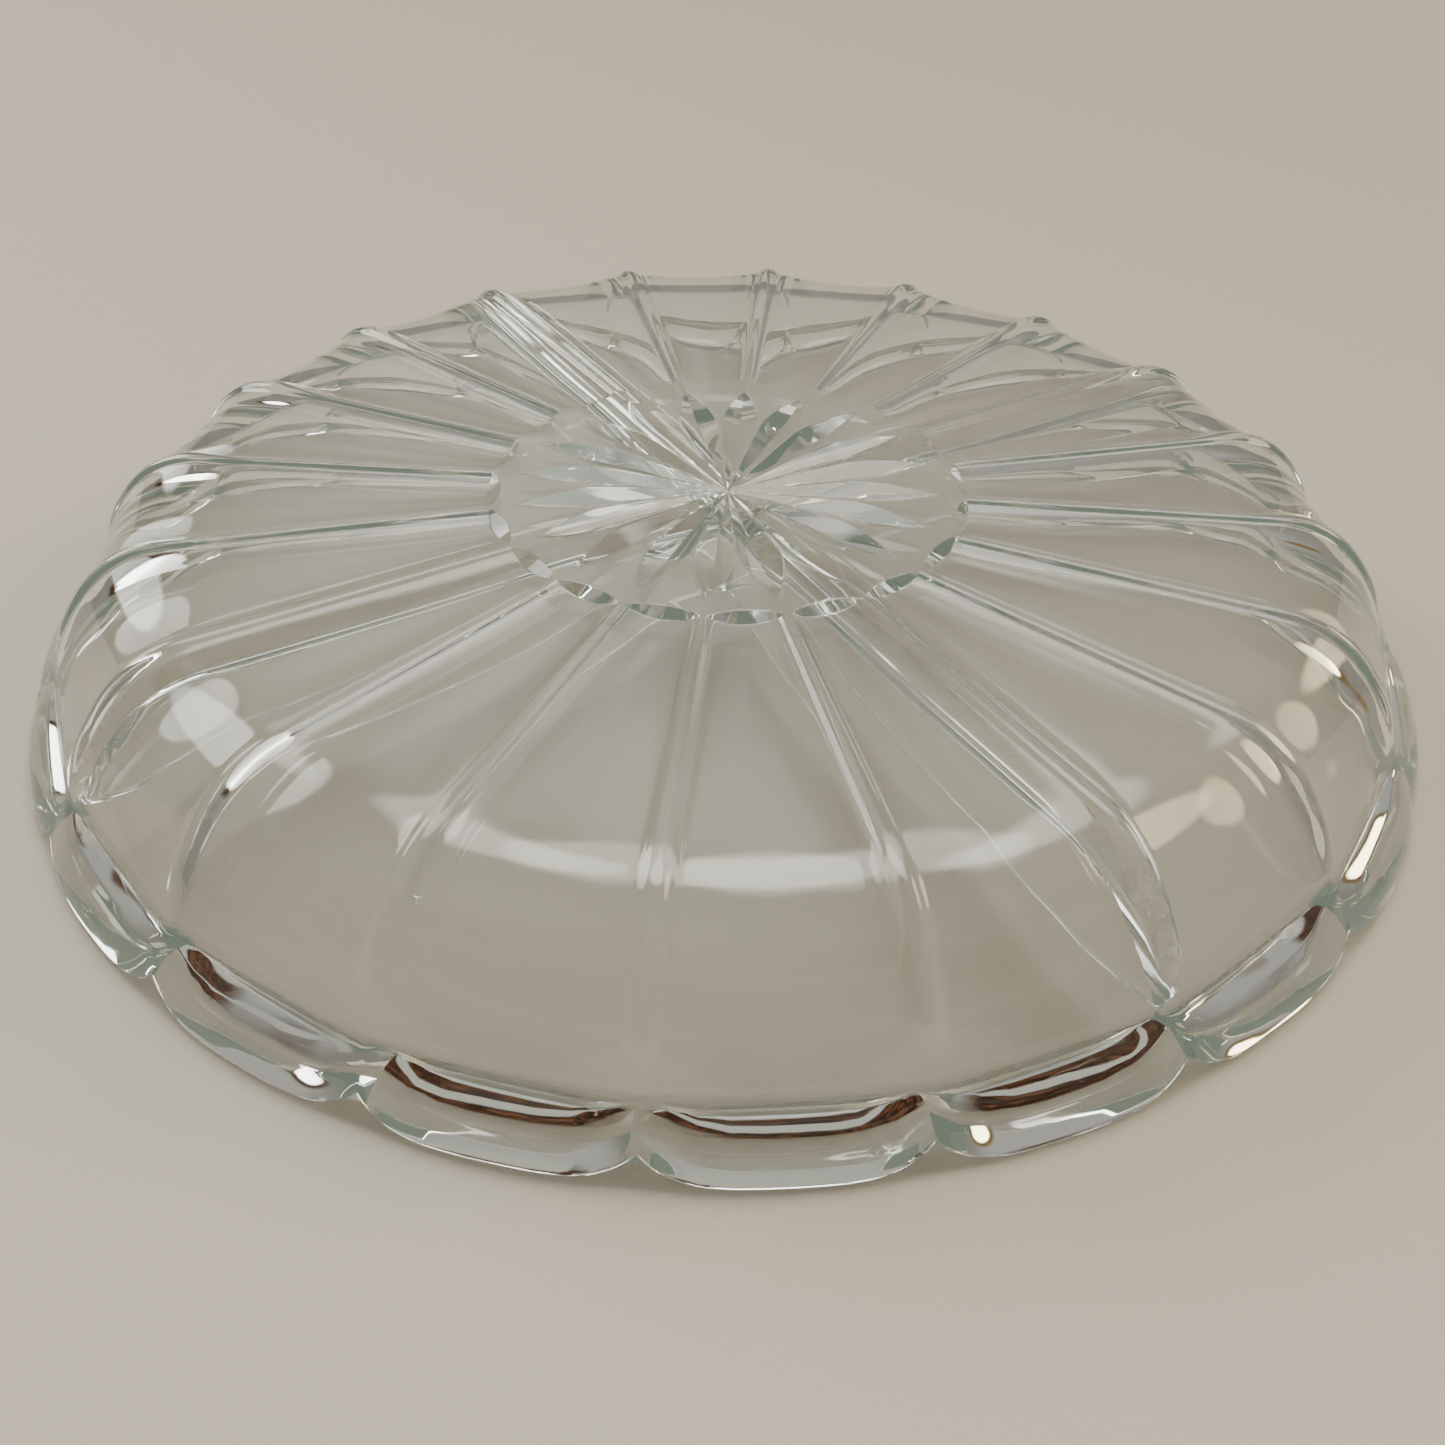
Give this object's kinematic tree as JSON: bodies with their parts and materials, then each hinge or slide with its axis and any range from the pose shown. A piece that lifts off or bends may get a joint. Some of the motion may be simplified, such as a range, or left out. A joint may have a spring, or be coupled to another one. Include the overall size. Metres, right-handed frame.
{
  "type": "divided serving dish",
  "caption": "Round pressed-glass serving dish with a scalloped rim, radial ribs, a star cut in its base and a cross of dividers inside.",
  "frame": {"origin": "centre of the rim plane, on the surface that the dish lies on upside down", "axes": "+Z from the rim plane up to the underside of the dish; the dividers run along +X, +Y, -X and -Y"},
  "size_m": [0.2496, 0.2496, 0.0328],
  "materials": {
    "glass": "clear, fire-polished"
  },
  "bodies": {
    "root": {"bowl": "glass", "divider_right": "glass", "divider_back": "glass", "divider_left": "glass", "divider_front": "glass"}
  },
  "joints": []
}
